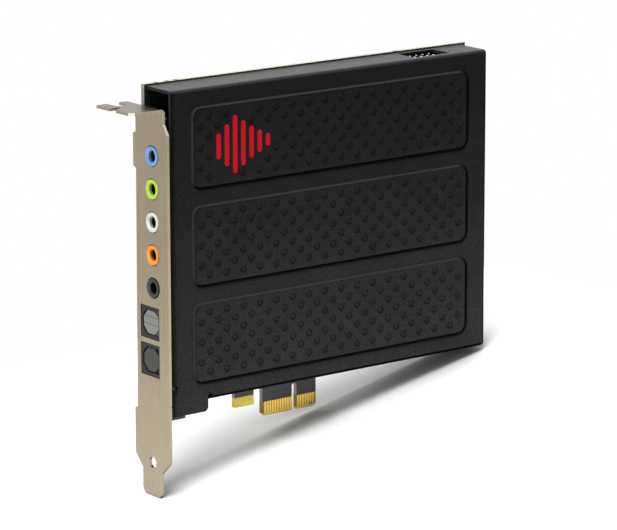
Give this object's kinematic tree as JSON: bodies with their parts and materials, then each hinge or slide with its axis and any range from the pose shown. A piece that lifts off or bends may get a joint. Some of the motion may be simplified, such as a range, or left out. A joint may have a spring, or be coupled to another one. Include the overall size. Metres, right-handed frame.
{
  "type": "expansion sound card",
  "caption": "One-lane expansion sound card under a folded black shield cover with studded pads, plated slot bracket, coloured audio jacks and shuttered optical sockets.",
  "frame": {"origin": "middle of the key notch on the mating edge of the board, in the board's mid-plane", "axes": "+X along the card away from the bracket, -Y out of the component side, +Z away from the slot"},
  "size_m": [0.1395, 0.0203, 0.1275],
  "materials": {
    "board": "black solder mask over glass-epoxy laminate",
    "gold": "gold plated copper",
    "cover_steel": "fine-textured black paint on sheet steel",
    "bracket_steel": "warm nickel plate on sheet steel",
    "steel": "tinned or plated metal",
    "black_plastic": "black moulded plastic",
    "chip_plastic": "moulded chip compound",
    "can_aluminium": "plain can",
    "chip_ceramic": "fired ceramic with plain ends",
    "jack_blue": "moulded in colour",
    "jack_green": "moulded in colour",
    "jack_white": "moulded in colour",
    "jack_orange": "moulded in colour",
    "jack_black": "moulded in colour",
    "shutter_upper": "light grey moulded door",
    "shutter_lower": "dark grey moulded door",
    "module_plastic": "moulded opto-electronic block"
  },
  "bodies": {
    "card": {"amplifier_chips": "chip_plastic", "audio_processor": "chip_plastic", "bracket_screw": "steel", "chip_capacitors": "chip_ceramic", "chip_resistors": "chip_plastic", "circuit_board": "board", "converter_chips": "chip_plastic", "cover_screws": "steel", "cover_standoffs": "steel", "crystal_can": "steel", "edge_contacts": "gold", "electrolytic_capacitors": "can_aluminium", "flash_chip": "chip_plastic", "header_base": "black_plastic", "header_pins": "steel", "jack_contacts_black": "steel", "jack_contacts_blue": "steel", "jack_contacts_green": "steel", "jack_contacts_orange": "steel", "jack_contacts_white": "steel", "jack_housing_black": "jack_black", "jack_housing_blue": "jack_blue", "jack_housing_green": "jack_green", "jack_housing_orange": "jack_orange", "jack_housing_white": "jack_white", "memory_chip": "chip_plastic", "optical_housing_lower": "black_plastic", "optical_housing_upper": "black_plastic", "optical_module_lower": "module_plastic", "optical_module_upper": "module_plastic", "shield_cover": "cover_steel", "shutter_pin_lower": "steel", "shutter_pin_upper": "steel", "shutter_spring_lower": "steel", "shutter_spring_upper": "steel", "slot_bracket": "bracket_steel", "voltage_regulators": "chip_plastic"},
    "upper_shutter": {"optical_shutter_upper": "shutter_upper"},
    "lower_shutter": {"optical_shutter_lower": "shutter_lower"}
  },
  "joints": [
    {"name": "upper_shutter_hinge", "type": "hinge", "parent": "card", "child": "upper_shutter", "pos_m": [-0.0573, -0.0094, 0.03845], "axis": [0, 0, -1], "range_deg": [0, 85], "stiffness_Nm_per_rad": 0.0004},
    {"name": "lower_shutter_hinge", "type": "hinge", "parent": "card", "child": "lower_shutter", "pos_m": [-0.0573, -0.0094, 0.02668], "axis": [0, 0, -1], "range_deg": [0, 85], "stiffness_Nm_per_rad": 0.0004}
  ]
}
